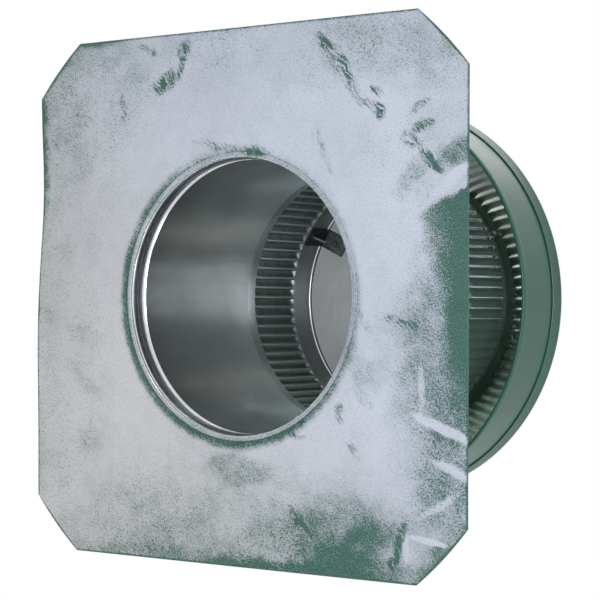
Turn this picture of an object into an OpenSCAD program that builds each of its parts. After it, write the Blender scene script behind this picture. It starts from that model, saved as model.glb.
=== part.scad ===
// Static roof vent: square flashing, short round throat, louvred band,
// and a domed cap with a hanging skirt round the louvres.
// The origin is at the middle of the flashing's underside, +Z points out of the roof.

/* [Flashing] */
// Side of the square flashing sheet
flashing_w = 393.7; // [340:0.1:480]
// Thickness of the flashing sheet
flashing_t = 0.8; // [0.6:0.1:1.2]
// Length cut off each side at a corner
corner_cut = 41; // [20:0.5:55]
// How far a corner cut bulges beyond a straight line
corner_bulge = 1.5; // [1:0.25:5]
// Radial width of the raised seat round the throat hole
seat_w = 6; // [5:0.25:9]

/* [Throat tube] */
// Outside diameter of the throat tube
tube_d = 203.2; // [180:0.1:230]
// Thickness of the tube sheet
tube_t = 0.8; // [0.6:0.1:1.2]
// Height of the tube's top edge over the flashing's underside
tube_h = 144.4; // [100:0.1:200]
// Radial width of the flared lip under the flashing
lip_w = 4.5; // [4.2:0.1:5]
// Radius between the lip and the wall
lip_fillet = 3.2; // [2.2:0.1:3.4]
// Height of the flashing's short neck round the tube
neck_h = 3.4; // [2.5:0.1:6]
// Height of the locking bead, which sits on the neck
bead_h = 11; // [8:0.25:14]
// How far the locking bead stands out of the wall
bead_depth = 2.4; // [1.5:0.1:3]
// Width of the tube's folded seam
tube_seam_w = 7; // [5:0.5:10]
// Side of the throat where its seam lies
tube_seam_angle = 10; // [-30:1:50]

/* [Louvre band] */
// Thickness of the louvred sheet
band_t = 0.6; // [0.5:0.05:0.8]
// How far the band reaches down over the tube
band_overlap = 12; // [10:0.5:16]
// Number of louvres round the band
louvre_n = 80; // [60:1:90]
// Length of a louvre
louvre_len = 55.4; // [40:0.1:75]
// How far a louvre stands out of the band
louvre_rise = 3; // [2.2:0.1:3.6]
// Width of the land between two louvres
louvre_land = 1.5; // [1.2:0.1:2]
// Length of a louvre's sloping closed end
louvre_end = 4; // [3:0.25:6]
// Plain band between the tube's top edge and the louvres
louvre_start = 10.1; // [8:0.1:16]
// Width of the band's lap seam
band_lap = 10; // [8:0.5:14]
// Side of the band where its seam lies
band_seam_angle = 74; // [62:1:80]

/* [Brim and skirt] */
// Plain band between the louvres and the brim
brim_margin = 6.6; // [6.2:0.1:10]
// Slope of the brim, falling outwards
brim_slope = 13.7; // [9:0.1:16]
// Height of the brim's inner collar
brim_collar = 8; // [4:0.25:12]
// Thickness of the brim, skirt and cap sheet
hood_t = 0.8; // [0.6:0.1:1.2]
// Height of skirt that shows below the cap
skirt_show = 50; // [35:0.5:65]
// How far the skirt flares outwards from the cap to its hem
skirt_flare = 2; // [0:0.1:4]
// Height of the rolled hem
hem_h = 6; // [4.5:0.1:8]
// Thickness of the rolled hem
hem_w = 2.4; // [2:0.1:3]
// Width of the skirt's lap seam
skirt_lap = 16; // [12:0.5:22]
// Side of the skirt where its seam lies
skirt_seam_angle = 200; // [150:1:230]

/* [Cap] */
// Outside radius of the cap
cap_r = 157.7; // [145:0.1:175]
// Height of the cap's turned-down rim
rim_h = 9; // [8:0.1:12]
// How far the rim draws in at its lower edge
rim_draw = 1.8; // [1:0.1:2.4]
// Radius between the rim and the dome
rim_fillet = 5; // [3.5:0.1:8]
// Height of the dome's middle over the top of the rim
dome_rise = 53; // [46:0.1:64]

/* [Brackets and fasteners] */
// Width of a cap bracket
bracket_w = 16; // [12:0.5:20]
// Thickness of a cap bracket
bracket_t = 1.2; // [1:0.1:1.6]
// Height of a bracket's upright leg
bracket_leg = 26; // [25:0.5:28]
// Length of a bracket's upper leg
bracket_arm = 20; // [18:0.5:26]
// Side of the band where the first bracket stands
bracket_angle = 211; // [190:0.5:220]
// Diameter of a bracket screw
screw_d = 3.5; // [3:0.1:3.8]
// Length of a bracket screw below its head
screw_len = 19; // [14:0.1:22]
// Upward slant of the bracket screws, which a driver reaches from below
screw_tilt = 45; // [40:1:48]
// Diameter of a rivet's shank
rivet_d = 3.2; // [2.4:0.1:4]
// Outside diameter of a sealing washer
washer_d = 12; // [9.5:0.5:14]
// Thickness of a sealing washer
washer_t = 1.5; // [1:0.1:2]

/* [Fits] */
// Clearance between two sheets that slip over each other
slip = 0.15; // [0.1:0.05:0.3]
// Clearance round a shank in its hole
hole_play = 0.1; // [0.05:0.05:0.2]

/* [Hidden] */
// Gap between the ends of the band's lap and what lies next to them
lap_gap = 0.4;
// Clearance under a rivet's head and behind its tail
head_gap = 0.06;
// Clearance between a washer and the dome
washer_gap = 0.1;
$fn = 96;
cut = 1;

// Radii, from the throat outwards
tube_ro = tube_d / 2;
tube_ri = tube_ro - tube_t;
lip_r = tube_ro + lip_w;
band_ri = tube_ro + slip;
band_ro = band_ri + band_t;
collar_ri = band_ro + slip;
collar_ro = collar_ri + hood_t;
rim_ri = cap_r - rim_draw - hood_t;
skirt_top_ro = rim_ri - slip;
skirt_top_ri = skirt_top_ro - hood_t;
flange_ro = skirt_top_ri - slip;
flange_ri = flange_ro - hood_t;

// Heights, from the flashing upwards
seat_z = max(flashing_t, tube_t);
neck_z = seat_z + flashing_t + neck_h;
bead_z = neck_z;
band_z = tube_h - band_overlap;
louvre_z = tube_h + louvre_start;
louvre_top = louvre_z + louvre_len;
brim_z = louvre_top + brim_margin;
brim_fall = (flange_ri - collar_ri) * tan(brim_slope);
flange_top = brim_z - brim_fall;
// The brim's outer corner tucks up into the cap's rim, this far below the top of its fillet
tuck = 2.2;
rim_top = flange_top + hood_t + tuck - rim_fillet;
rim_z = rim_top - rim_h;
flange_z = rim_z + 1;
hem_z = rim_z - skirt_show;

// The dome is a ball of this radius; its rim point lies straight over the rim
dome_top = rim_top + dome_rise;
dome_arm = cap_r - rim_fillet;
dome_r = (dome_arm * dome_arm + dome_rise * dome_rise - rim_fillet * rim_fillet)
    / (2 * (dome_rise - rim_fillet));
dome_z = dome_top - dome_r;
dome_in = dome_r - hood_t;
fillet_dir = atan2(rim_top - dome_z, dome_arm);
band_top = dome_z + sqrt(dome_in * dome_in - band_ro * band_ro) - slip;

// Fasteners
rivet_head_r = rivet_d;
rivet_head_h = 0.4 * rivet_d;
rivet_tail_r = 0.65 * rivet_d;
rivet_tail_h = 0.7 * rivet_d;
screw_head_r = 0.88 * screw_d;
screw_head_h = 0.6 * screw_d;
screw_reach = (screw_d / 2 + hole_play) / cos(screw_tilt);
screw_z = brim_z + (collar_ro - band_ro) * tan(screw_tilt) - screw_reach - slip;
arm_tilt = asin((band_ri - bracket_arm / 2) / dome_in);
arm_mid_r = dome_in * sin(arm_tilt);

function arc(x, y, r, from, to, steps) =
    [for (i = [0:steps]) let (a = from + (to - from) * i / steps) [x + r * cos(a), y + r * sin(a)]];
function back(points) = [for (i = [len(points) - 1:-1:0]) points[i]];

module spun(points) rotate_extrude() polygon(points);

module spun_part(points, middle, width_angle)
    rotate([0, 0, middle - width_angle / 2])
        rotate_extrude(angle = width_angle) polygon(points);

function lap_angle(width, r) = width / r * 180 / PI;

// A shape drawn along +X at the given side and height, X counted from the axis
module at_side(angle, z) rotate([0, 0, angle]) translate([0, 0, z]) children();

// Blind rivet along X: its head stands on x_out, its tail is pulled against x_in
module rivet(x_out, x_in) rotate([0, 90, 0]) {
    translate([0, 0, x_out]) rotate_extrude() polygon(concat(
        [[0, 0], [rivet_head_r, 0], [rivet_head_r, 0.3 * rivet_head_h]],
        [[0.7 * rivet_head_r, 0.85 * rivet_head_h], [0.35 * rivet_head_r, rivet_head_h]],
        [[0, rivet_head_h]]));
    translate([0, 0, x_in - cut]) cylinder(d = rivet_d, h = x_out - x_in + cut + 0.2);
    translate([0, 0, x_in - rivet_tail_h]) cylinder(r = rivet_tail_r, h = rivet_tail_h);
}

module rivet_hole(x_out, x_in)
    translate([x_in - cut, 0, 0]) rotate([0, 90, 0])
        cylinder(r = rivet_d / 2 + hole_play, h = x_out - x_in + 2 * cut);

// Places what lies along X on a screw's slanting line; x = 0 is at the band's outside
module on_screw(angle)
    at_side(angle, screw_z) translate([band_ro, 0, 0]) rotate([0, screw_tilt, 0]) children();

module screw_hole()
    rotate([0, 90, 0]) cylinder(r = screw_d / 2 + hole_play, h = screw_len, center = true);

// Heights of the rivets along the seams
band_seam_rivets_z = [tube_h + 0.5 * louvre_start, louvre_top + 0.5 * brim_margin];
skirt_seam_rivets_z = [for (i = [0:2]) hem_z + hem_h + 9 + i * (skirt_show - hem_h - 18) / 2];
bracket_angles = [for (i = [0:2]) bracket_angle + i * 120];

// Square sheet with bulging corner cuts
module sheet_outline() {
    half = flashing_w / 2;
    chord = corner_cut * sqrt(2);
    bulge_r = (chord * chord / 4 + corner_bulge * corner_bulge) / (2 * corner_bulge);
    reach = half * sqrt(2) - corner_cut / sqrt(2) + corner_bulge - bulge_r;
    spread = asin(chord / 2 / bulge_r);
    polygon([
        for (side = [45:90:315])
            each arc(reach * cos(side), reach * sin(side), bulge_r, side - spread, side + spread, 10)
    ]);
}

// Flat sheet whose hole edge is raised by one thickness, so the lip lies flush under it,
// and turned up into a short neck that carries the tube's locking bead
module flashing() color("lightsteelblue") {
    hole_r = tube_ro + slip;
    seat_r = lip_r + seat_w / 4;
    flat_r = lip_r + seat_w / 2;
    plate_r = lip_r + seat_w;
    union() {
        linear_extrude(flashing_t) difference() {
            sheet_outline();
            circle(r = plate_r - 0.5);
        }
        spun([
            [hole_r, seat_z], [seat_r, seat_z], [flat_r, 0], [plate_r, 0],
            [plate_r, flashing_t], [flat_r + 0.3, flashing_t],
            [seat_r + 0.3, seat_z + flashing_t], [hole_r + flashing_t, seat_z + flashing_t],
            [hole_r + flashing_t, neck_z], [hole_r, neck_z]
        ]);
    }
}

// Rolled tube: flared lip under the flashing, locking bead over its neck, folded seam outside
module throat_tube() color("gray") {
    chord_r = (bead_h * bead_h / 4 + bead_depth * bead_depth) / (2 * bead_depth);
    bead_x = tube_ri + bead_depth - chord_r;
    bead_mid = bead_z + bead_h / 2;
    open_in = acos((tube_ri - bead_x) / chord_r);
    open_out = acos((tube_ro - bead_x) / (chord_r + tube_t));
    lip_x = tube_ri + lip_fillet;
    inside = concat(
        [[lip_r, 0]],
        arc(lip_x, lip_fillet, lip_fillet, 270, 180, 6),
        arc(bead_x, bead_mid, chord_r, -open_in, open_in, 10),
        [[tube_ri, tube_h]]);
    outside = concat(
        [[lip_r, tube_t]],
        arc(lip_x, lip_fillet, lip_fillet - tube_t, 270, 180, 6),
        arc(bead_x, bead_mid, chord_r + tube_t, -open_out, open_out, 10),
        [[tube_ro, tube_h]]);
    seam_z0 = bead_z + bead_h + 1;
    seam_z1 = band_z - 1;
    union() {
        spun(concat(inside, back(outside)));
        spun_part([
            [tube_ro - tube_t / 2, seam_z0], [tube_ro + 2 * tube_t, seam_z0],
            [tube_ro + 2 * tube_t, seam_z1], [tube_ro - tube_t / 2, seam_z1]
        ], tube_seam_angle, lap_angle(tube_seam_w, tube_ro));
    }
}

// Bead of sealant in the corner between the flashing and its neck
module base_sealant() color("dimgray") {
    width = 4;
    height = neck_h + 0.6;
    foot = seat_z + flashing_t;
    x = tube_ro + slip + flashing_t + 0.1;
    spun(concat([[x, foot]], [for (a = [0:15:90]) [x + width * cos(a), foot + height * sin(a)]]));
}

// One louvre seen along its length: it rises steeply from its hinge and ends at its slit
louvre_pitch = 360 / louvre_n;
land_angle = lap_angle(louvre_land, band_ro);
blade_angle = louvre_pitch - land_angle;
function blade_line(base, from, to) =
    [for (i = [0:6]) let (s = from + (to - from) * i / 6)
        let (r = base + louvre_rise * sin(90 * pow(s, 0.8)), a = blade_angle * s)
        [r * cos(a), r * sin(a)]];
function polar(r, a) = [r * cos(a), r * sin(a)];

module blade_solid()
    polygon(concat(
        [polar(band_ri + 0.1, blade_angle), polar(band_ri + 0.1, 0)],
        blade_line(band_ro, 0, 1)));

module blade_hollow() {
    hinge = 0.13;
    open = 0.35;
    polygon(concat(
        [polar(band_ri - cut, blade_angle), polar(band_ri - cut, blade_angle * hinge)],
        blade_line(band_ri, hinge, 1),
        [polar(band_ri + louvre_rise, blade_angle + open)],
        [polar(band_ro + 0.02, blade_angle + open), polar(band_ro + 0.02, blade_angle)]));
}

// Envelope that slopes every louvre down to the band at both ends
module louvre_envelope(top_r, base_r, inset) {
    z0 = louvre_z + inset;
    z1 = louvre_top - inset;
    spun([
        [base_r - 12, z0], [base_r, z0], [top_r, z0 + louvre_end],
        [top_r, z1 - louvre_end], [base_r, z1], [base_r - 12, z1]
    ]);
}

module all_round() for (i = [0:louvre_n - 1]) rotate([0, 0, i * louvre_pitch]) children();

module louvre_band() color("darkslategray") {
    lap_a = lap_angle(band_lap, band_ro);
    rise_r = band_ro + louvre_rise + 0.2;
    difference() {
        union() {
            spun([[band_ri, band_z], [band_ro, band_z], [band_ro, band_top], [band_ri, band_top]]);
            intersection() {
                translate([0, 0, louvre_z]) linear_extrude(louvre_len) all_round() blade_solid();
                louvre_envelope(rise_r, band_ro - 0.1, 0);
            }
            spun_part([
                [band_ro - band_t / 2, band_z], [band_ro + band_t, band_z],
                [band_ro + band_t, louvre_z - lap_gap], [band_ro - band_t / 2, louvre_z - lap_gap]
            ], band_seam_angle, lap_a);
            spun_part([
                [band_ro - band_t / 2, louvre_top + lap_gap], [band_ro + band_t, louvre_top + lap_gap],
                [band_ro + band_t, brim_z - lap_gap], [band_ro - band_t / 2, brim_z - lap_gap]
            ], band_seam_angle, lap_a);
        }
        intersection() {
            translate([0, 0, louvre_z]) linear_extrude(louvre_len) all_round() blade_hollow();
            louvre_envelope(rise_r - band_t, band_ri - 0.1, band_t);
        }
        for (z = band_seam_rivets_z) at_side(band_seam_angle, z) rivet_hole(band_ro + band_t, band_ri);
        for (a = bracket_angles) on_screw(a) screw_hole();
    }
}

module band_seam_rivets() color("silver")
    for (z = band_seam_rivets_z)
        at_side(band_seam_angle, z) rivet(band_ro + band_t + head_gap, band_ri - head_gap);

// Sloping ring between louvre band and skirt, with a collar up and a flange down
module brim() color("darkgreen")
    spun([
        [collar_ri, brim_z], [flange_ri, flange_top], [flange_ri, flange_z],
        [flange_ro, flange_z], [flange_ro, flange_top + hood_t], [collar_ro, brim_z + hood_t],
        [collar_ro, brim_z + brim_collar], [collar_ri, brim_z + brim_collar]
    ]);

// Wall that hangs from the cap, with a rolled hem and a lap seam
module skirt() color("seagreen") {
    bottom_ro = skirt_top_ro + skirt_flare;
    wall_z = hem_z + hem_h / 2;
    top_z = flange_top - 0.5;
    round_r = hem_w / 2;
    hem_x = bottom_ro - hood_t + round_r;
    lap_z0 = hem_z + hem_h + 1;
    lap_z1 = rim_z - 1;
    lap_x0 = skirt_top_ro + skirt_flare * (rim_z - lap_z0) / (rim_z - wall_z);
    lap_x1 = skirt_top_ro + skirt_flare * (rim_z - lap_z1) / (rim_z - wall_z);
    difference() {
        union() {
            spun([
                [bottom_ro - hood_t, wall_z], [bottom_ro, wall_z],
                [skirt_top_ro, rim_z], [skirt_top_ro, top_z],
                [skirt_top_ri, top_z], [skirt_top_ri, rim_z]
            ]);
            spun(concat(
                arc(hem_x, hem_z + round_r, round_r, -180, 0, 8),
                arc(hem_x, hem_z + hem_h - round_r, round_r, 0, 180, 8)));
            spun_part([
                [lap_x0 - hood_t / 2, lap_z0], [lap_x0 + hood_t, lap_z0],
                [lap_x1 + hood_t, lap_z1], [lap_x1 - hood_t / 2, lap_z1]
            ], skirt_seam_angle, lap_angle(skirt_lap, skirt_top_ro));
        }
        for (z = skirt_seam_rivets_z)
            at_side(skirt_seam_angle, z) rivet_hole(bottom_ro + hood_t, skirt_top_ri);
    }
}

function skirt_ro(z) = skirt_top_ro + skirt_flare * (rim_z - z) / (rim_z - hem_z - hem_h / 2);

module skirt_seam_rivets() color("silver")
    for (z = skirt_seam_rivets_z)
        at_side(skirt_seam_angle, z)
            rivet(skirt_ro(z) + hood_t + slip, skirt_ro(z) - hood_t - slip);

// Spun dome with a turned-down rim
function cap_line(inset) = concat(
    arc(0, dome_z, dome_r - inset, 90, fillet_dir, 24),
    arc(dome_arm, rim_top, rim_fillet - inset, fillet_dir, 0, 6),
    [[cap_r - rim_draw - inset, rim_z]]);

module cap() color("seagreen")
    difference() {
        spun(concat(cap_line(0), back(cap_line(hood_t))));
        for (a = bracket_angles) rotate([0, 0, a]) on_dome() rivet_hole(hood_t, -bracket_t);
    }

// Places what lies along X on the dome, square to it, over a bracket's arm; x = 0 is its underside
module on_dome()
    translate([0, 0, dome_z]) rotate([0, arm_tilt - 90, 0]) translate([dome_in, 0, 0]) children();

// Angle piece: one leg on the band's inside, one arm under the dome
module cap_bracket(i) color("slategray")
    rotate([0, 0, bracket_angles[i]]) {
        leg_x = sqrt(band_ri * band_ri - bracket_w * bracket_w / 4) - slip;
        under = slip + bracket_w * bracket_w / 8 / dome_in;
        mid_x = arm_mid_r - under * sin(arm_tilt);
        mid_z = dome_z + dome_in * cos(arm_tilt) - under * cos(arm_tilt);
        corner_z = mid_z - (leg_x - mid_x) * tan(arm_tilt);
        drop = bracket_t / cos(arm_tilt);
        end_x = leg_x - bracket_arm * cos(arm_tilt);
        end_z = corner_z + (leg_x - end_x) * tan(arm_tilt);
        difference() {
            translate([0, bracket_w / 2, 0]) rotate([90, 0, 0]) linear_extrude(bracket_w) polygon([
                [leg_x, corner_z - bracket_leg], [leg_x, corner_z], [end_x, end_z],
                [end_x - bracket_t * sin(arm_tilt), end_z - bracket_t * cos(arm_tilt)],
                [leg_x - bracket_t, corner_z - drop + bracket_t * tan(arm_tilt)],
                [leg_x - bracket_t, corner_z - bracket_leg]
            ]);
            on_screw(0) screw_hole();
            on_dome() rivet_hole(0, -2 * bracket_t);
        }
    }

// Self-tapping screw through band and bracket; its slanting head's edge rests on the band
module bracket_screws() color("dimgray")
    for (a = bracket_angles) on_screw(a) rotate([0, 90, 0]) {
        point = 3;
        seat_x = screw_head_r * tan(screw_tilt) + 0.12;
        translate([0, 0, seat_x]) rotate_extrude() polygon([
            [0, -0.1], [screw_d / 2, -0.1], [screw_d / 2, 0], [screw_head_r, 0],
            [screw_head_r, 0.5 * screw_head_h], [0.6 * screw_head_r, screw_head_h], [0, screw_head_h]
        ]);
        translate([0, 0, seat_x - screw_len + point]) cylinder(d = screw_d, h = screw_len - point);
        translate([0, 0, seat_x - screw_len]) rotate_extrude()
            polygon([[0, 0], [0.3, 0], [screw_d / 2, point], [screw_d / 2, point + 0.1], [0, point + 0.1]]);
    }

// Ring that seals a rivet on the dome
module cap_washers() color("black")
    for (a = bracket_angles) rotate([0, 0, a]) on_dome() rotate([0, 90, 0])
        translate([0, 0, hood_t + washer_gap]) difference() {
            cylinder(d = washer_d, h = washer_t);
            translate([0, 0, -cut]) cylinder(r = rivet_d / 2 + hole_play, h = washer_t + 2 * cut);
        }

module cap_rivets() color("seagreen")
    for (a = bracket_angles) rotate([0, 0, a]) on_dome()
        rivet(hood_t + washer_gap + washer_t,
                -bracket_t - slip - bracket_w * bracket_w / 8 / dome_in - head_gap);

flashing();
throat_tube();
base_sealant();
louvre_band();
band_seam_rivets();
brim();
skirt();
skirt_seam_rivets();
cap();
cap_bracket(0);  // cap_bracket_1
cap_bracket(1);  // cap_bracket_2
cap_bracket(2);  // cap_bracket_3
bracket_screws();
cap_washers();
cap_rivets();
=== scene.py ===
"""Static roof vent: the finish of every piece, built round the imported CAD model."""

import math

import bmesh
import bpy
from mathutils import Matrix, Vector


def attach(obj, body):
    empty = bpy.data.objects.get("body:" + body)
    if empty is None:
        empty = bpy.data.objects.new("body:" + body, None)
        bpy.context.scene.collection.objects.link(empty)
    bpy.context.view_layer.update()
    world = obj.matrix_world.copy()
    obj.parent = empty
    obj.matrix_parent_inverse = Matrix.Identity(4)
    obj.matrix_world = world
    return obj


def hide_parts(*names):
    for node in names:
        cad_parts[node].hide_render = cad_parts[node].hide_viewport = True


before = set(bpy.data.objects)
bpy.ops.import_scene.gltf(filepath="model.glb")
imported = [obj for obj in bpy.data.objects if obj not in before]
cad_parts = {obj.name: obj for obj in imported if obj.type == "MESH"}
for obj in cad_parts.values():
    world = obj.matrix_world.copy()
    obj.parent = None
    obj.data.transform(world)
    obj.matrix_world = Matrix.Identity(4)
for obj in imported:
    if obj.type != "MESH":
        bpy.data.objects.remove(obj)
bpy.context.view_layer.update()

# Studio: a white surround, soft lamps and a pale floor under the flashing. The camera looks
# up at the flashing's underside, as in the photograph. The floor shows only from above, so
# that the underside stays lit and in sight.


def feed(tree, node, inputs):
    """Gives a node's inputs their values, or the outputs that feed them."""
    for name, value in inputs.items():
        if isinstance(value, bpy.types.NodeSocket):
            tree.links.new(value, node.inputs[name])
        else:
            node.inputs[name].default_value = value


def put(tree, kind, inputs=None, **options):
    """Adds a node with its options and inputs."""
    made = tree.nodes.new(kind)
    for name, value in options.items():
        setattr(made, name, value)
    feed(tree, made, inputs or {})
    return made


def calc(tree, operation, *terms):
    """Adds a maths node and gives its result."""
    return put(tree, "ShaderNodeMath", dict(enumerate(terms)), operation=operation).outputs[0]


def times(tree, *terms):
    """Multiplies the first two values, and adds the third if there is one."""
    return calc(tree, "MULTIPLY_ADD" if len(terms) > 2 else "MULTIPLY", *terms)


def vector(tree, operation, *terms):
    """Adds a vector maths node and gives its result."""
    made = put(tree, "ShaderNodeVectorMath", dict(enumerate(terms)), operation=operation)
    return made.outputs["Value" if operation == "LENGTH" else "Vector"]


def ramp(tree, value, start, end, low=0.0, high=1.0, curve="SMOOTHSTEP"):
    """Carries a value from one range over to another, with soft ends."""
    return put(tree, "ShaderNodeMapRange", {
        "Value": value, "From Min": start, "From Max": end, "To Min": low, "To Max": high},
        interpolation_type=curve).outputs["Result"]


def new_material(name):
    """A material with its nodes, and the place on the piece that its patterns read."""
    material = bpy.data.materials.new(name)
    material.use_nodes = True
    tree = material.node_tree
    return material, tree, put(tree, "ShaderNodeTexCoord").outputs["Object"]


def linked(name, data):
    """Puts data into the scene as an object."""
    made = bpy.data.objects.new(name, data)
    bpy.context.scene.collection.objects.link(made)
    return made


def studio_camera():
    """The camera that gives the photograph's view, found from the outline of the flashing."""
    half_side = 0.19685
    tilt, swing, roll = -0.0183, 0.6267, 0.0045
    offset = Vector((-0.2527, 0.0808, 7.0706)) * half_side
    focal, centre_x, centre_y, width = 1907.46, 304.65, 274.53, 600
    turn = (Matrix.Rotation(roll, 3, "Z") @ Matrix.Rotation(tilt, 3, "X")
            @ Matrix.Rotation(swing, 3, "Y"))
    data = bpy.data.cameras.new("camera")
    data.sensor_width = 36
    data.lens = focal / width * data.sensor_width
    data.shift_x = (width / 2 - centre_x) / width
    data.shift_y = (centre_y - width / 2) / width
    data.clip_start, data.clip_end = 0.01, 50
    camera = linked("camera", data)
    axes = Matrix((turn[0], -turn[1], -turn[2])).transposed()
    camera.matrix_world = Matrix.Translation(-(turn.transposed() @ offset)) @ axes.to_4x4()
    bpy.context.scene.camera = camera


def soft_lamp(name, azimuth, elevation, size, power, colour=(1, 1, 1), distance=1.5):
    """A square soft box that faces the vent from the given side and height."""
    a, e = math.radians(azimuth), math.radians(elevation)
    away = Vector((math.cos(a) * math.cos(e), math.sin(a) * math.cos(e), math.sin(e)))
    target = Vector((0, 0, 0.1))
    data = bpy.data.lights.new(name, "AREA")
    data.shape, data.size, data.energy, data.color = "SQUARE", size, power, colour
    lamp = linked(name, data)
    lamp.location = target + away * distance
    lamp.rotation_euler = away.to_track_quat("Z", "Y").to_euler()
    lamp.visible_camera = False


def studio_surround():
    """White to the camera and in reflections; even light from all sides for the object."""
    world = bpy.data.worlds.new("surround")
    world.use_nodes = True
    tree = world.node_tree
    tree.nodes.clear()
    ray = put(tree, "ShaderNodeLightPath")
    light = put(tree, "ShaderNodeBackground", {"Color": (0.96, 0.98, 1, 1), "Strength": 0.66})
    white = put(tree, "ShaderNodeBackground", {"Color": (1, 1, 1, 1), "Strength": 1.0})
    seen = calc(tree, "MAXIMUM", ray.outputs["Is Camera Ray"], calc(tree, "MAXIMUM",
        ray.outputs["Is Glossy Ray"], ray.outputs["Is Transmission Ray"]))
    mix = put(tree, "ShaderNodeMixShader", {0: seen, 1: light.outputs[0], 2: white.outputs[0]})
    put(tree, "ShaderNodeOutputWorld", {"Surface": mix.outputs[0]})
    bpy.context.scene.world = world


def studio_floor():
    """A pale floor just below the vent, which fades out round it and shows only from above."""
    half, low, fade_start, fade_end = 1.5, -0.004, 0.45, 1.4
    floor = linked("floor", bpy.data.meshes.new("floor"))
    corners = [(x * half, y * half, low) for x, y in ((-1, -1), (1, -1), (1, 1), (-1, 1))]
    floor.data.from_pydata(corners, [], [(0, 1, 2, 3)])
    material, tree, where = new_material("floor")
    tree.nodes.remove(tree.nodes["Principled BSDF"])
    ray = put(tree, "ShaderNodeLightPath").outputs["Is Camera Ray"]
    back = put(tree, "ShaderNodeNewGeometry").outputs["Backfacing"]
    far = vector(tree, "LENGTH", where)
    near = ramp(tree, far, fade_start, fade_end, 1.0, 0.0, curve="SMOOTHERSTEP")
    above = times(tree, ray, calc(tree, "SUBTRACT", 1, back))
    clear = put(tree, "ShaderNodeBsdfTransparent")
    pale = put(tree, "ShaderNodeBsdfDiffuse", {"Color": (0.8, 0.8, 0.8, 1)})
    glow = put(tree, "ShaderNodeEmission", {"Color": (1, 1, 1, 1), "Strength": 0.36})
    lit = put(tree, "ShaderNodeAddShader", {0: pale.outputs[0], 1: glow.outputs[0]})
    mix = put(tree, "ShaderNodeMixShader", {
        0: times(tree, above, near), 1: clear.outputs[0], 2: lit.outputs[0]})
    feed(tree, tree.nodes["Material Output"], {"Surface": mix.outputs[0]})
    floor.data.materials.append(material)


bpy.context.scene.view_settings.view_transform = "Standard"
studio_camera()
studio_surround()
studio_floor()
soft_lamp("front_box", azimuth=0, elevation=-48, size=0.6, power=12, colour=(0.96, 0.98, 1))
soft_lamp("low_box", azimuth=158, elevation=-34, size=0.5, power=0.8, colour=(1, 0.91, 0.77))
soft_lamp("side_box", azimuth=21, elevation=-36, size=0.06, power=2.6)
soft_lamp("left_box", azimuth=-78, elevation=-50, size=0.12, power=2, colour=(1, 0.93, 0.82))
soft_lamp("edge_box", azimuth=50, elevation=-36, size=0.3, power=3.5, colour=(1, 0.95, 0.86))
soft_lamp("top_box", azimuth=-115, elevation=68, size=1.2, power=7, distance=1.8)


# Flashing: the square sheet that lies on the roof. It is aluminium sheet with clipped corners.
# Its hole edge is raised by one thickness and turned up into a short neck. It is coated
# green from above, so its underside is bare metal under drifts of stray powder.
MM = 0.001


def new_group(name, kind, inputs, outputs):
    """An empty node group with its named sockets, and the values that come in."""
    group = bpy.data.node_groups.new(name, kind)
    for way, sockets in (("INPUT", inputs), ("OUTPUT", outputs)):
        for label, sort in sockets.items():
            group.interface.new_socket(label, in_out=way, socket_type="NodeSocket" + sort)
    return group, put(group, "NodeGroupInput").outputs


def noise(tree, where, scale, detail, rough=0.5):
    """Adds a noise texture and gives its grey value."""
    return put(tree, "ShaderNodeTexNoise", {
        "Vector": where, "Scale": scale, "Detail": detail, "Roughness": rough}).outputs[0]


def tint(tree, share, first, second, blend="MIX"):
    """Mixes two colours; share is how much of the second one shows."""
    return put(tree, "ShaderNodeMix", {0: share, 6: first, 7: second},
        data_type="RGBA", blend_type=blend).outputs[2]


def parts(tree, place):
    """The x, y and z of a place."""
    return put(tree, "ShaderNodeSeparateXYZ", {0: place}).outputs


def powder_coat_group():
    """Semi-gloss powder coat: slow changes of colour, uneven gloss and an orange-peel skin."""
    group, given = new_group("powder_coat", "ShaderNodeTree",
        {"Vector": "Vector", "Green": "Color", "Gloss wear": "Float"},
        {"Color": "Color", "Roughness": "Float", "Height": "Float"})
    where, wear = given["Vector"], given["Gloss wear"]
    cloud = noise(group, where, 22, 4)
    peel = noise(group, where, 620, 2)
    dust = ramp(group, noise(group, where, 1500, 1), 0.62, 0.72, 0.0, 0.35, curve="LINEAR")
    shade = times(group, cloud, 0.5, 0.75)
    green = tint(group, 1.0, given["Green"], shade, "MULTIPLY")
    colour = tint(group, times(group, dust, wear), green, (0.32, 0.42, 0.40, 1))
    rough = times(group, cloud, 0.16, times(group, wear, 0.2, 0.2))
    put(group, "NodeGroupOutput", {"Color": colour, "Roughness": rough, "Height": peel})
    return group


def surface(tree, height, depth, looks):
    """Feeds the Principled shader; height is raised by a Bump node, depth metres at most."""
    raised = put(tree, "ShaderNodeBump", {"Height": height, "Distance": depth})
    feed(tree, tree.nodes["Principled BSDF"], {**looks, "Normal": raised.outputs[0]})


POWDER_COAT = powder_coat_group()
GREEN = (0.026, 0.088, 0.066, 1)


def green_coat(name, green=GREEN, wear=0.2, metal=0.0):
    """The powder coat; metal is how much of the sheet shines through where it is thin."""
    material, tree, where = new_material(name)
    coat = put(tree, "ShaderNodeGroup", {"Vector": where, "Green": green, "Gloss wear": wear},
        node_tree=POWDER_COAT).outputs
    surface(tree, coat["Height"], 0.00003, {
        "Base Color": coat["Color"], "Roughness": coat["Roughness"], "Metallic": metal,
        "Specular IOR Level": 0.32})
    return material


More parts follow.
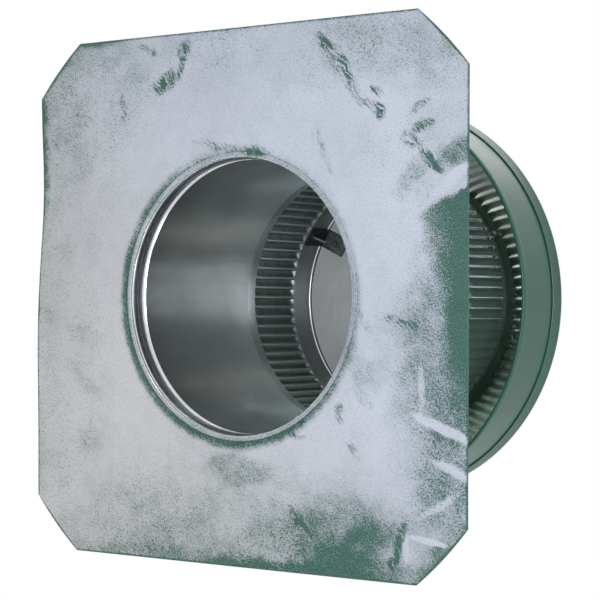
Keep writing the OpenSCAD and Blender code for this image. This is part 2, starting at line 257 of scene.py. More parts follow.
def smear_group():
    """One smear of powder: a soft oval, full at its middle, turned to lie along its length."""
    group, given = new_group("powder_smear", "ShaderNodeTree",
        {"Vector": "Vector", "Middle": "Vector", "Half size": "Vector", "Turn": "Float",
         "Strength": "Float"}, {"Powder": "Float"})
    moved = vector(group, "SUBTRACT", given["Vector"], given["Middle"])
    turned = put(group, "ShaderNodeVectorRotate", {"Vector": moved, "Angle": given["Turn"]},
        rotation_type="Z_AXIS").outputs[0]
    far = vector(group, "LENGTH", vector(group, "DIVIDE", turned, given["Half size"]))
    put(group, "NodeGroupOutput", {
        "Powder": times(group, ramp(group, far, 1.0, 0.25), given["Strength"])})
    return group


def underside_metal():
    """Bare sheet with powder in drifts and smears, thick at the right edge and the corners."""
    # middle x, y, half length, half width in mm, turn in degrees, strength
    fields = [
        (150, -172, 84, 38, 10, 0.17), (196, -186, 34, 22, 60, 0.16), (172, 34, 64, 90, 6, 0.34),
        (184, 186, 62, 30, -45, 0.55), (180, 118, 44, 62, 0, 0.36), (92, 166, 80, 34, -12, 0.34),
        (104, 176, 44, 20, -20, 0.25), (60, 196, 110, 9, 0, 0.6), (110, 190, 60, 14, -3, 0.5),
        (0, 126, 44, 16, 3, 0.3), (110, 52, 26, 14, 50, 0.24), (-144, 68, 26, 10, 35, 0.2),
        (-141, 113, 22, 18, 30, 0.2), (-150, 30, 24, 14, 10, 0.14), (-202, -110, 16, 80, 0, 0.7),
        (-150, -200, 55, 10, 0, 0.5), (-182, -180, 50, 12, -45, 0.5), (-60, 195, 140, 12, 0, 0.18),
        (-160, -150, 110, 90, 0, 0.16), (0, 165, 210, 70, 0, 0.2), (188, -97, 22, 14, -20, 0.5),
        (152, -84, 26, 12, -40, 0.22),
    ]
    smears = [
        (-67, -162, 20, 10, -25, 1.1), (-50, -184, 11, 8, -50, 0.8), (-54, -174, 14, 4, -75, 0.7),
        (-86, -187, 13, 5, 20, 0.6), (-110, -142, 18, 5, 82, 0.35), (78, -180, 15, 6, 40, 0.9),
        (86, -166, 22, 12, 55, 0.5), (97, -158, 18, 5, 65, 0.85), (106, -141, 18, 6, 40, 0.65),
        (118, -132, 16, 6, 15, 0.75), (125, -128, 9, 9, 80, 0.9), (75, -108, 18, 4, 75, 0.4),
        (122, -142, 9, 4, 35, 0.9), (82, -92, 14, 4, 50, 0.3), (168, -92, 17, 6, 45, 1.4),
        (160, -117, 14, 6, -20, 0.65), (150, -107, 14, 7, 35, 0.55), (158, -131, 12, 5, -30, 0.6),
        (140, 17, 24, 5, 12, 0.45), (113, 17, 12, 5, 60, 0.5), (112, 70, 14, 7, 40, 0.4),
        (141, 172, 24, 5, -72, 1.1), (57, 159, 18, 5, 42, 0.9), (92, 83, 6, 10, -20, 0.9),
        (55, 99, 12, 3, 0, 0.7), (104, 108, 12, 5, 50, 0.5), (-20, -111, 34, 5, 8, 0.5),
        (16, -106, 17, 5, 10, 1.0), (-198, 7, 4, 24, 0, 1.2),
    ]
    # where fingers and rags wiped the powder off
    wipes = [
        (178, 90, 34, 5, 20, 1.0), (160, 62, 4, 24, 0, 0.3), (166, 166, 20, 3, 8, 0.8),
        (148, 172, 3, 12, 0, 0.6), (186, 118, 24, 5, 22, 0.5), (184, -80, 26, 5, -38, 0.7),
        (174, 142, 26, 4, -30, 0.35),
    ]
    material, tree, where = new_material("flashing_underside")
    flat = vector(tree, "MULTIPLY", where, (1, 1, 0))
    ragged = put(tree, "ShaderNodeTexNoise", {"Vector": where, "Scale": 90, "Detail": 5})
    centred = vector(tree, "SUBTRACT", ragged.outputs["Color"], (0.5, 0.5, 0.5))
    # the place on the sheet, pushed about by up to half of each reach, for ragged outlines
    pushed, dabbed, eased = [
        vector(tree, "MULTIPLY_ADD", centred, (reach, reach, 0), flat)
        for reach in (12 * MM, 8 * MM, 4 * MM)]
    smear = smear_group()
    sums = []
    for spot, rows in ((pushed, fields), (dabbed, smears), (eased, wipes)):
        total = 0.0
        for x, y, long, wide, turn, strength in rows:
            one = put(tree, "ShaderNodeGroup", {
                "Vector": spot, "Middle": (x * MM, y * MM, 0), "Half size": (long * MM, wide * MM, 1),
                "Turn": -math.radians(turn), "Strength": strength}, node_tree=smear)
            total = calc(tree, "ADD", total, one.outputs[0])
        sums.append(total)
    drift, smeared, wiped = sums
    # thick wedge of powder down the right edge, cut off at its top by a wiped stripe
    wedge_start, wedge_lean, stripe_lean = 0.1852, 0.36, 0.42
    x, y = parts(tree, pushed)[:2]
    inward = calc(tree, "SUBTRACT", x, times(tree, y, wedge_lean, wedge_start))
    wedge = calc(tree, "ADD", ramp(tree, inward, -0.014, 0.003, 0.0, 0.44),
        ramp(tree, inward, -0.004, 0.03, 0.0, 0.46))
    strip = times(tree, ramp(tree, x, 0.172, 0.193), ramp(tree, y, 0.105, 0.0, 0.0, 0.85))
    below = ramp(tree, times(tree, x, stripe_lean, y), 0.006, 0.012)
    thick = times(tree, calc(tree, "MAXIMUM", wedge, strip), below)
    # powder round the hole, thickest at the lower left, and a thin line along every edge
    ragged_radius, radius = vector(tree, "LENGTH", eased), vector(tree, "LENGTH", flat)
    ring = times(tree, ramp(tree, ragged_radius, 0.1065, 0.1145, 0.95, 0.0),
        ramp(tree, radius, 0.1046, 0.1062))
    uneven = ramp(tree, calc(tree, "SUBTRACT", y, x), -0.16, 0.13, 0.1, 1.0)
    drift = times(tree, ring, uneven, drift)
    corner_shift = 0.1568
    side_x, side_y = [calc(tree, "ABSOLUTE", part) for part in parts(tree, flat)[:2]]
    corner = calc(tree, "SUBTRACT", calc(tree, "ADD", side_x, side_y), corner_shift)
    edge = calc(tree, "MAXIMUM", calc(tree, "MAXIMUM", side_x, side_y), corner)
    border = calc(tree, "ADD", ramp(tree, edge, 0.1945, 0.1970, 0.0, 0.6),
        ramp(tree, edge, 0.12, 0.197, 0.0, 0.16))
    # clouds in the drifts, and streaks where the powder was rubbed
    cloud = noise(tree, where, 34, 6, 0.65)
    rubbed = put(tree, "ShaderNodeVectorRotate", {"Vector": pushed, "Angle": 0.7},
        rotation_type="Z_AXIS").outputs[0]
    streak = noise(tree, vector(tree, "MULTIPLY", rubbed, (1, 0.16, 1)), 620, 3)
    cloudy = ramp(tree, cloud, 0.3, 0.62, 0.75, 1.12)
    scratchy = times(tree, cloudy, ramp(tree, streak, 0.34, 0.7, 0.05, 1.15))
    brushed = times(tree, cloudy, ramp(tree, streak, 0.36, 0.64, 0.8, 1.15))
    lip = ramp(tree, radius, 0.1055, 0.1068, 0.3, 0.0)
    dust = calc(tree, "ADD", calc(tree, "ADD", border, lip), ramp(tree, cloud, 0.35, 0.75, 0.08, 0.26))
    density = times(tree, drift, brushed, dust)
    density = times(tree, smeared, scratchy, density)
    density = calc(tree, "SUBTRACT", calc(tree, "ADD", density, thick), wiped)
    density = calc(tree, "MINIMUM", density, 1.12)
    # the grain of the powder, a thin film under it, and loose specks
    fine = noise(tree, where, 1700, 1)
    coarse = noise(tree, where, 800, 1)
    grain = times(tree, fine, 0.6, times(tree, coarse, 0.4))
    grain = ramp(tree, grain, 0.3, 0.7, curve="LINEAR")
    cover = ramp(tree, calc(tree, "SUBTRACT", density, grain), -0.25, 0.4)
    film = ramp(tree, density, 0.0, 1.0, 0.0, 0.7)
    specks = ramp(tree, noise(tree, where, 760, 2), 0.58, 0.72, 0.0, 0.42)
    cover = calc(tree, "MAXIMUM", times(tree, cover, 0.96), calc(tree, "MAXIMUM", film, specks))
    # bare sheet, brighter and bluer towards the upper right as the camera sees it: painted light from
    # a bluish lamp on that side; and the powder in two shades
    sheet = tint(tree, ramp(tree, times(tree, y, -0.7, x), -0.2, 0.12),
        (0.60, 0.612, 0.64, 1), (0.63, 0.675, 0.785, 1))
    worn = times(tree, fine, 0.26, times(tree, noise(tree, where, 9, 5), 0.26, 0.54))
    bare = tint(tree, 1.0, sheet, worn, "MULTIPLY")
    powder = tint(tree, ramp(tree, times(tree, cloud, 0.4, grain), 0.25, 1.15),
        (0.009, 0.040, 0.030, 1), (0.036, 0.122, 0.094, 1))
    rough = times(tree, noise(tree, where, 60, 4), 0.2, times(tree, cover, 0.15, 0.36))
    height = times(tree, cover, 0.7, times(tree, fine, 0.5))
    surface(tree, height, 0.00004, {
        "Base Color": tint(tree, cover, bare, powder), "Roughness": rough,
        "Metallic": times(tree, cover, -0.8, 0.8), "Specular IOR Level": 0.2})
    return material


def swung(line, angle):
    """A line of (radius, height) points, swung to its angle round the axis."""
    c, s = math.cos(angle), math.sin(angle)
    return [(r * c, r * s, z) for r, z in line]


def loft(rings, closed_across=True, closed_along=True):
    """Faces between rings of points, and the place of each across its ring. A run of rings
    that doesn't close on itself is capped."""
    count, size = len(rings), len(rings[0])
    faces, columns = [], []
    for i in range(count if closed_along else count - 1):
        a, b = i * size, (i + 1) % count * size
        for j in range(size if closed_across else size - 1):
            k = (j + 1) % size
            faces.append((a + j, b + j, b + k, a + k))
            columns.append(j)
    if not closed_along:
        last = (count - 1) * size
        faces += [tuple(range(size)), tuple(reversed(range(last, last + size)))]
        columns += [0, 0]
    return faces, columns


def skinned(name, rings, indices, materials, sharp=38, closed_across=True, closed_along=True):
    """A piece from rings of points in mm; indices gives the material of each span of a ring."""
    faces, columns = loft(rings, closed_across, closed_along)
    mesh = bpy.data.meshes.new(name)
    mesh.from_pydata([tuple(Vector(p) * MM) for ring in rings for p in ring], [], faces)
    for material in materials:
        mesh.materials.append(material)
    mesh.polygons.foreach_set("material_index", [indices[j] for j in columns])
    work = bmesh.new()
    work.from_mesh(mesh)
    bmesh.ops.remove_doubles(work, verts=work.verts, dist=1e-7)
    work.to_mesh(mesh)
    work.free()
    mesh.shade_smooth()
    mesh.set_sharp_from_angle(angle=math.radians(sharp))
    return linked(name, mesh)


UNDERSIDE = underside_metal()


def flashing_sheet():
    """The sheet as rings round the axis: from the hole out below, and back in above."""
    half, cut, bulge, thick, edge = 196.85, 41.0, 1.5, 0.8, 0.22
    hole, seat, flat, plate, neck_top = 101.75, 107.6, 109.1, 112.1, 5.0
    chord = cut * math.sqrt(2)
    bulge_r = (chord * chord / 4 + bulge * bulge) / (2 * bulge)
    reach = half * math.sqrt(2) - cut / math.sqrt(2) + bulge - bulge_r
    corner = math.atan2(half - cut, half)

    def rim(angle):
        """Distance from the axis to the sheet's edge."""
        turn = angle % (math.pi / 2)
        if corner <= turn <= math.pi / 2 - corner:
            off = turn - math.pi / 4
            return reach * math.cos(off) + math.sqrt(bulge_r**2 - (reach * math.sin(off)) ** 2)
        return half / max(abs(math.cos(angle)), abs(math.sin(angle)))

    def warp(x, y):
        """How far the thin sheet stands off the flat, most at its left edge."""
        side = max(0.0, (-x - 105) / 92) ** 2
        wave = 3.6 * math.exp(-(((y + 82) / 52) ** 2)) - 2.6 * math.exp(-(((y - 28) / 62) ** 2))
        out = min(1.0, max(0.0, (math.hypot(x, y) - plate) / 60))
        ripple = math.sin(x / 31 + 1.3) * math.cos(y / 37 - 0.6) + math.sin((x + y) / 53)
        return side * wave + 0.22 * out * out * ripple

    angles = sorted(
        [2 * math.pi * i / 480 for i in range(480)]
        + [q * math.pi / 2 + c for q in range(4) for c in (corner, math.pi / 2 - corner)])
    steps = [i / 44 for i in range(45)]
    rings = []
    for angle in angles:
        far = rim(angle)
        out = [plate + (far - edge - plate) * s for s in steps]
        below = [(hole, thick), (seat, thick), (seat + 0.4, thick * 0.93), (flat - 0.4, thick * 0.07),
                 (flat, 0)] + [(r, 0) for r in out]
        above = [(far, edge), (far, thick - edge)] + [(r, thick) for r in reversed(out)]
        above += [(flat + 0.3, thick), (flat, thick * 1.07), (seat + 0.7, thick * 1.93),
                  (seat + 0.3, 2 * thick), (hole + 2 * thick, 2 * thick),
                  (hole + 1.2 * thick, 2.2 * thick), (hole + thick, 2.8 * thick),
                  (hole + thick, neck_top), (hole, neck_top)]
        c, s = math.cos(angle), math.sin(angle)
        rings.append([(r * c, r * s, z + (warp(r * c, r * s) if r > plate else 0))
                      for r, z in below + above])
    indices = [0] * (len(below) - 1) + [1] * (len(above) + 1)
    return skinned("flashing_sheet", rings, indices, [UNDERSIDE, green_coat("flashing_top", wear=0.5)])


flashing = flashing_sheet()
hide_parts("flashing")
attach(flashing, "root")


# Throat tube: aluminium sheet rolled to a tube, with a folded seam outside. A flared lip holds
# the flashing from below and a rolled bead locks it from above.
TUBE_OUT, TUBE_IN, TUBE_TOP = 101.6, 100.8, 144.4


def arc(x, y, radius, start, end, steps):
    """Points on an arc, with angles in degrees."""
    turns = [math.radians(start + (end - start) * i / steps) for i in range(steps + 1)]
    return [(x + radius * math.cos(t), y + radius * math.sin(t)) for t in turns]


def spun(name, line, indices, materials, sides, closed=True, start=0.0, sweep=360.0):
    """Turns a line of (radius, height) points in mm round the axis, with a material per span."""
    whole = sweep >= 360
    turns = [start + sweep * i / sides for i in range(sides if whole else sides + 1)]
    rings = [swung(line, math.radians(t)) for t in turns]
    return skinned(name, rings, indices, materials, closed_across=closed, closed_along=whole)


def seam_strip(name, material, radius, proud, low, high, angle, width, sunk, eased):
    """A flat strip over a seam: proud of the wall at that radius, sunk into it at its back, with
    eased edges."""
    face, back = radius + proud, radius - sunk
    line = [(back, low), (face - eased, low), (face, low + eased),
            (face, high - eased), (face - eased, high), (back, high)]
    span = math.degrees(width / radius)
    return spun(name, line, [0] * len(line), [material], 12, start=angle - span / 2, sweep=span)


def rolled_metal_group():
    """Rolled sheet: faint lines round the roll, small stains and a slow change of tone."""
    group, given = new_group("rolled_metal", "ShaderNodeTree",
        {"Vector": "Vector", "Metal": "Color", "Base roughness": "Float"},
        {"Color": "Color", "Roughness": "Float", "Height": "Float"})
    where = given["Vector"]
    lines = noise(group, vector(group, "MULTIPLY", where, (0.08, 0.08, 1)), 900, 3)
    rolls = noise(group, vector(group, "MULTIPLY", where, (1, 1, 0.05)), 500, 2)
    stain = noise(group, where, 28, 5)
    mixed = times(group, lines, 0.6, times(group, rolls, 0.4))
    shade = times(group, stain, 0.3, times(group, mixed, 0.16, 0.77))
    colour = tint(group, 1.0, given["Metal"], shade, "MULTIPLY")
    rough = times(group, stain, 0.05, times(group, mixed, 0.12, given["Base roughness"]))
    put(group, "NodeGroupOutput", {"Color": colour, "Roughness": rough, "Height": mixed})
    return group


ROLLED_METAL = rolled_metal_group()


def mill_metal(name, metal, roughness, anisotropy=0.0, metallic=1.0, foot=None):
    """Bare aluminium; foot is its colour at the bottom of the tube, painted darker there as shade."""
    material, tree, where = new_material(name)
    shown = metal
    if foot:
        # painted shade: the colour darkens from the metal down to foot at the bottom of the tube
        height = parts(tree, where)[2]
        shown = tint(tree, ramp(tree, height, 0.0, TUBE_TOP * MM, curve="LINEAR"), foot, metal)
    skin = put(tree, "ShaderNodeGroup", {
        "Vector": where, "Metal": shown, "Base roughness": roughness}, node_tree=ROLLED_METAL).outputs
    surface(tree, skin["Height"], 0.00001, {
        "Base Color": skin["Color"], "Roughness": skin["Roughness"], "Metallic": metallic,
        "Anisotropic": anisotropy, "Anisotropic Rotation": 0.25})
    return material


# the tube's inside is painted darker towards its mouth, as shade
INSIDE_METAL = mill_metal("tube_inside", (0.77, 0.84, 0.85, 1), 0.22, anisotropy=1.0,
    foot=(0.14, 0.155, 0.155, 1))
WORKED_METAL = mill_metal("tube_lip", (0.62, 0.63, 0.67, 1), 0.1)
# bare cut metal, whitened and made mostly diffuse so that the slit edges show as bright lines: partly
# a painted highlight
CUT_EDGE_AND_PAINTED_GLINT = mill_metal("cut_edge_and_painted_glint", (0.92, 0.93, 0.94, 1), 0.4, metallic=0.3)
TUBE_COAT = green_coat("tube_coat", (0.016, 0.076, 0.053, 1), wear=0.15)


def throat_tube():
    """The wall, the locking bead and the flared lip, from the top down inside and up outside."""
    lip_out, thick, fillet, face_fillet = 106.1, 0.8, 3.2, 4.2
    bead_foot, bead_high, bead_deep = 5.0, 11.0, 2.4
    chord_r = (bead_high**2 / 4 + bead_deep**2) / (2 * bead_deep)
    bead_x, bead_z = TUBE_IN + bead_deep - chord_r, bead_foot + bead_high / 2
    open_in = math.degrees(math.acos((TUBE_IN - bead_x) / chord_r))
    open_out = math.degrees(math.acos((TUBE_OUT - bead_x) / (chord_r + thick)))
    corner, face_corner = TUBE_IN + fillet, TUBE_IN + face_fillet
    bead = arc(bead_x, bead_z, chord_r, open_in, -open_in, 16)
    flare = arc(face_corner, face_fillet, face_fillet, 180, 270, 14)
    inner = [(TUBE_IN, TUBE_TOP), *bead, *flare, (lip_out - 0.2, 0)]
    outer = [(lip_out, 0.2), (lip_out, 0.6), (lip_out - 0.2, thick)]
    outer += arc(corner, fillet, fillet - thick, 270, 180, 8)
    outer += arc(bead_x, bead_z, chord_r + thick, -open_out, open_out, 16) + [(TUBE_OUT, TUBE_TOP)]
    # bright worked metal down to the flare's tenth point, then powder as on the flashing
    bright = len(bead) + 9
    indices = [0] + [2] * bright + [3] * (len(inner) + 1 - bright) + [1] * (len(outer) - 2)
    return spun("throat_tube_wall", inner + outer, indices,
        [INSIDE_METAL, TUBE_COAT, WORKED_METAL, UNDERSIDE], sides=256)


def folded_seam():
    """The tube's folded seam: four thicknesses pressed flat on the outside."""
    return seam_strip("throat_tube_seam", TUBE_COAT, TUBE_OUT, proud=1.6, low=17.5, high=131.0,
        angle=10, width=7, sunk=0.3, eased=0.3)


for piece in (throat_tube(), folded_seam()):
    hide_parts("throat_tube")
    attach(piece, "root")


# Base sealant: a bead of grey sealant laid by hand in the corner between flashing and tube.


def mottled(name, scale, detail, dark, light, depth, rough, spread=0.0, metallic=0.0):
    """A material in two shades, with its mottle raised that deep; spread is how much rougher
    the light places are."""
    material, tree, where = new_material(name)
    mottle = noise(tree, where, scale, detail)
    if spread:
        rough = times(tree, mottle, spread, rough)
    surface(tree, mottle, depth, {
        "Base Color": tint(tree, mottle, dark, light), "Roughness": rough, "Metallic": metallic})
    return material


def base_sealant():
    """A quarter-round bead that swells and thins as it goes round."""
    foot, inside, bead, sides = 1.62, 102.65, 4.0, 240
    slopes = [math.radians(a) for a in range(0, 91, 10)]
    rings = []
    for i in range(sides):
        t = 2 * math.pi * i / sides
        swell = 1 + 0.09 * math.sin(23 * t) + 0.06 * math.sin(41 * t + 1) + 0.04 * math.sin(67 * t)
        section = [(inside + bead * swell * math.cos(a), foot + bead * min(swell, 1.0) * math.sin(a))
                   for a in slopes]
        rings.append(swung([(inside, foot)] + section, t))
    grey = mottled("sealant", scale=260, detail=4, dark=(0.035, 0.085, 0.068, 1),
        light=(0.09, 0.15, 0.13, 1), depth=0.0006, rough=0.62)
    return skinned("base_sealant_bead", rings, [0] * len(rings[0]), [grey], sharp=60)


sealant = base_sealant()
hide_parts("base_sealant")
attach(sealant, "root")


# Louvre band: a strip of thin aluminium with eighty lanced louvres, rolled to a ring and lapped.
# Each louvre is cut along one side only and pressed out, and its ends run down to the band.
BAND_IN, BAND_OUT, BAND_FOOT, BAND_TOP = 101.75, 102.35, 132.4, 234.1
BAND_COAT = green_coat("band_coat", (0.125, 0.205, 0.170, 1), metal=0.45)
LOUVRE_FOOT, LOUVRE_TOP, BAND_LAP_SIDE = 154.5, 209.9, 74


def repeated(tree, count, shape):
    """Repeats a shape at even steps round the axis, as real geometry."""
    points = put(tree, "GeometryNodeMeshLine", {"Count": count, "Offset": (0.0, 0.0, 0.0)})
    step = calc(tree, "DIVIDE", 2 * math.pi, count)
    turn = times(tree, put(tree, "GeometryNodeInputIndex").outputs[0], step)
    euler = put(tree, "ShaderNodeCombineXYZ", {2: turn})
    rotation = put(tree, "FunctionNodeEulerToRotation", {0: euler.outputs[0]})
    copies = put(tree, "GeometryNodeInstanceOnPoints", {
        "Points": points.outputs[0], "Instance": shape, "Rotation": rotation.outputs[0]})
    return put(tree, "GeometryNodeRealizeInstances", {0: copies.outputs[0]}).outputs[0]


def louvre_tree():
    """Geometry Nodes: presses one louvre out of a strip, then repeats it round the axis."""
    crowding, margin = 0.8, 0.6 * MM
    numbers = ("Band radius", "Rise", "Land share", "Gap share", "Foot", "Top", "Louvre foot",
               "Louvre top", "End length")
    tree, given = new_group("lanced_louvres", "GeometryNodeTree", {
        **dict.fromkeys(("Count", "Columns", "Rows"), "Int"), **dict.fromkeys(numbers, "Float"),
        "Finish": "Material"}, {"Band": "Geometry"})
    grid = put(tree, "GeometryNodeMeshGrid", {
        "Size X": 1.0, "Size Y": 1.0, "Vertices X": given["Columns"], "Vertices Y": given["Rows"]})
    place = put(tree, "GeometryNodeInputPosition").outputs[0]
    across, along = [calc(tree, "ADD", part, 0.5) for part in parts(tree, place)[:2]]
    # rows crowd together at the louvre's ends; the first and last row are the band's edges
    wave = calc(tree, "SINE", times(tree, along, 2 * math.pi))
    eased = calc(tree, "SUBTRACT", along, times(tree, wave, crowding / (2 * math.pi)))
    low = calc(tree, "SUBTRACT", given["Louvre foot"], margin)
    high = calc(tree, "ADD", given["Louvre top"], margin)
    height = times(tree, eased, calc(tree, "SUBTRACT", high, low), low)
    for side, limit, end in (("LESS_THAN", 0.001, "Foot"), ("GREATER_THAN", 0.999, "Top")):
        at_edge = put(tree, "FunctionNodeCompare", {0: along, 1: limit}, operation=side)
        height = put(tree, "GeometryNodeSwitch", {
            0: at_edge.outputs[0], 1: height, 2: given[end]}, input_type="FLOAT").outputs[0]
    gaps = (calc(tree, "SUBTRACT", height, given["Louvre foot"]),
            calc(tree, "SUBTRACT", given["Louvre top"], height))
    pressed = times(tree, *[
        ramp(tree, calc(tree, "DIVIDE", gap, given["End length"]), 0.0, 1.0) for gap in gaps])
    blade = calc(tree, "MAXIMUM", 0.0, calc(tree, "DIVIDE",
        calc(tree, "SUBTRACT", across, given["Land share"]),
        calc(tree, "SUBTRACT", 1.0, given["Land share"])))
    bulge = calc(tree, "SINE", times(tree, calc(tree, "POWER", blade, 0.8), math.pi / 2))
    lift = times(tree, times(tree, bulge, pressed), given["Rise"])
    radius = calc(tree, "ADD", given["Band radius"], lift)
    opened = calc(tree, "SUBTRACT", 1.0, times(tree, given["Gap share"], pressed))
    angle = times(tree, times(tree, across, opened),
        calc(tree, "DIVIDE", 2 * math.pi, given["Count"]))
    spot = put(tree, "ShaderNodeCombineXYZ", {
        0: times(tree, radius, calc(tree, "COSINE", angle)),
        1: times(tree, radius, calc(tree, "SINE", angle)), 2: height})
    louvre = put(tree, "GeometryNodeSetPosition", {
        "Geometry": grid.outputs[0], "Position": spot.outputs[0]})
    real = repeated(tree, given["Count"], louvre.outputs[0])
    welded = put(tree, "GeometryNodeMergeByDistance", {0: real, "Distance": 0.00001})
    smooth = put(tree, "GeometryNodeSetShadeSmooth", {0: welded.outputs[0]})
    done = put(tree, "GeometryNodeSetMaterial", {
        "Geometry": smooth.outputs[0], "Material": given["Finish"]})
    put(tree, "NodeGroupOutput", {0: done.outputs[0]})
    return tree


def grown(name, tree, blank=None, **sizes):
    """Runs a Geometry Nodes tree with the given sizes and keeps its result as a plain mesh."""
    piece = linked(name, blank or bpy.data.meshes.new(name))
    modifier = piece.modifiers.new("grow", "NODES")
    modifier.node_group = tree
    sockets = {s.name: s.identifier for s in tree.interface.items_tree if s.in_out == "INPUT"}
    for label, value in sizes.items():
        modifier[sockets[label.replace("_", " ")]] = value
    result = piece.evaluated_get(bpy.context.evaluated_depsgraph_get())
    mesh = bpy.data.meshes.new_from_object(result)
    piece.modifiers.remove(modifier)
    piece.data = mesh
    mesh.name = name
    return piece


def band_inside():
    """Bare inside of the band, with powder that blew in through the slits; its dark colour is kept to
    the pressed-out recesses, partly as painted shade.
    """
    material, tree, where = new_material("band_inside")
    skin = put(tree, "ShaderNodeGroup", {
        "Vector": where, "Metal": (0.50, 0.54, 0.55, 1), "Base roughness": 0.25},
        node_tree=ROLLED_METAL).outputs
    height = parts(tree, where)[2]
    radius = vector(tree, "LENGTH", vector(tree, "MULTIPLY", where, (1, 1, 0)))
    low = ramp(tree, height, (LOUVRE_FOOT - 1) * MM, (LOUVRE_FOOT + 2.5) * MM)
    high = ramp(tree, height, (LOUVRE_TOP - 1.4) * MM, (LOUVRE_TOP - 3.4) * MM)
    # real overspray, and painted shade: the dark powder colour fills the pressed-out recesses while
    # the flat lands stay bare
    pressed = ramp(tree, radius, (BAND_IN + 0.1) * MM, (BAND_IN + 0.8) * MM)
    powder_and_shade_zone = times(tree, times(tree, low, high), pressed)
    cover = ramp(tree, noise(tree, where, 160, 6), 0.3, 0.6, times(tree, powder_and_shade_zone, 0.8),
        times(tree, powder_and_shade_zone, 0.97), curve="LINEAR")
    surface(tree, skin["Height"], 0.00001, {
        "Base Color": tint(tree, cover, skin["Color"], (0.070, 0.105, 0.094, 1)),
        "Roughness": skin["Roughness"], "Metallic": times(tree, cover, -0.7, 1.0),
        "Anisotropic": 1.0, "Anisotropic Rotation": 0.25})
    return material


def louvre_band():
    """The band's outer skin from the tree, thickened inwards, with bright cut edges whose whiteness is
    partly a painted highlight.
    """
    piece = grown("louvre_band_sheet", louvre_tree(), Count=80, Columns=12, Rows=30,
        Band_radius=BAND_OUT * MM, Rise=3 * MM, Land_share=0.187, Gap_share=0.11,
        Foot=BAND_FOOT * MM, Top=BAND_TOP * MM, Louvre_foot=LOUVRE_FOOT * MM,
        Louvre_top=LOUVRE_TOP * MM, End_length=4 * MM, Finish=BAND_COAT)
    piece.data.materials.append(band_inside())
    piece.data.materials.append(CUT_EDGE_AND_PAINTED_GLINT)
    wall = piece.modifiers.new("wall", "SOLIDIFY")
    wall.thickness, wall.offset = (BAND_OUT - BAND_IN) * MM, -1
    wall.material_offset, wall.material_offset_rim = 1, 2
    piece.data.set_sharp_from_angle(angle=math.radians(50))
    return piece


def band_laps():
    """Double thickness where the band's ends lap, below and above the louvres."""
    clear, brim_foot = 0.4, 216.1
    return [
        seam_strip("louvre_band_lap_" + name, BAND_COAT, BAND_OUT, proud=0.6, low=low, high=high,
            angle=BAND_LAP_SIDE, width=10, sunk=0.2, eased=0.15)
        for name, low, high in (("lower", BAND_FOOT, LOUVRE_FOOT - clear),
                                ("upper", LOUVRE_TOP + clear, brim_foot))]


def band_edge():
    """The band's top edge is turned in to a narrow bead under the dome."""
    line = [(BAND_IN + 0.1, BAND_TOP - 2.4), *arc(BAND_IN, BAND_TOP - 1.2, 1.1, 270, 90, 8),
            (BAND_IN + 0.1, BAND_TOP - 0.1)]
    return spun("louvre_band_edge", line[::-1], [0] * len(line), [WORKED_METAL], sides=256)


for piece in [louvre_band(), band_edge(), *band_laps()]:
    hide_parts("louvre_band")
    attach(piece, "root")


# Brim: a spun aluminium ring that slopes from the louvre band out to the skirt. Its collar sits
# on the band and its flange is crimped inside the skirt.


def run(start, end, steps):
    """Points on the straight line between two (radius, height) points."""
    return [(start[0] + (end[0] - start[0]) * i / steps, start[1] + (end[1] - start[1]) * i / steps)
            for i in range(steps + 1)]


def brim():
    """The ring's underside from the collar out to the flange, then back along its upper side."""
    collar_in, collar_out, collar_top = 102.5, 103.3, 224.5
    flange_in, flange_out, flange_foot = 153.2, 154.0, 194.14
    under = [(collar_in, collar_top), (collar_in, 216.9), (102.7, 216.35)]
    under += run((collar_out, 216.1), (151.7, 204.5), 12) + [(152.7, 203.9)]
    upper = [(flange_in, 203.1), (flange_in, flange_foot), (flange_out, flange_foot),
             (flange_out, 203.9), (153.4, 204.8), (152.2, 205.3)]
    upper += run((151.7, 205.4), (104.1, 217.0), 12)[1:]
    upper += [(103.5, 217.3), (collar_out, 217.9), (collar_out, collar_top)]
    bare = mill_metal("brim_underside", (0.60, 0.63, 0.58, 1), 0.06)
    return spun("brim_ring", under + upper, [1] * len(under) + [0] * len(upper),
        [green_coat("brim_coat"), bare], sides=256)


brim_ring = brim()
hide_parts("brim")
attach(brim_ring, "root")


# Skirt: a strip of aluminium rolled to a ring, riveted at its lap and flared a little. Its lower
# edge is rolled to a hem, and its upper edge is crimped between the brim and the cap's rim.
SKIRT_COAT = green_coat("skirt_coat", (0.013, 0.074, 0.050, 1), wear=0.1)
SKIRT_LAP_SIDE = 200.0


def skirt():
    """The flared wall down its inside, round the rolled hem and up its outside."""
    top, shoulder, foot, low, hem = 203.64, 193.14, 146.14, 143.14, 1.2
    inside, outside, hem_middle = 154.15, 154.95, 157.35
    line = [(inside, top), (inside, shoulder + 1)] + run((inside, shoulder), (156.15, foot), 8)
    line += arc(hem_middle, low + hem, hem, 180, 360, 12)
    line += [(158.55, 147.6), (158.5, 148.4), (158.25, 148.9), (157.8, 149.1), (hem_middle, 149.0),
             (157.1, 148.7), (156.84, 148.75), (156.78, 149.2)]
    line += run((156.7, 151), (outside, shoulder), 8) + [(outside, shoulder + 1), (outside, top)]
    return spun("skirt_wall", line, [0] * len(line), [SKIRT_COAT], sides=288)


def skirt_lap():
    """Double thickness where the strip's ends lap."""
    width, radius = 16.0, 155
    span = math.degrees(width / radius)
    line = [(156.0, 150.14), (157.25, 150.14), (157.55, 150.5), (155.85, 191.7), (155.5, 192.14),
            (154.5, 192.14)]
    return spun("skirt_lap", line, [0] * len(line), [SKIRT_COAT], 16,
        start=SKIRT_LAP_SIDE - span / 2, sweep=span)


for piece in (skirt(), skirt_lap()):
    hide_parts("skirt")
    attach(piece, "root")


# Cap: a dome spun from aluminium, with a turned-down rim that is crimped over skirt and brim.
# It is coated outside, and bare metal inside.
DOME_INSIDE, DOME_MIDDLE = 271.1, -16.8


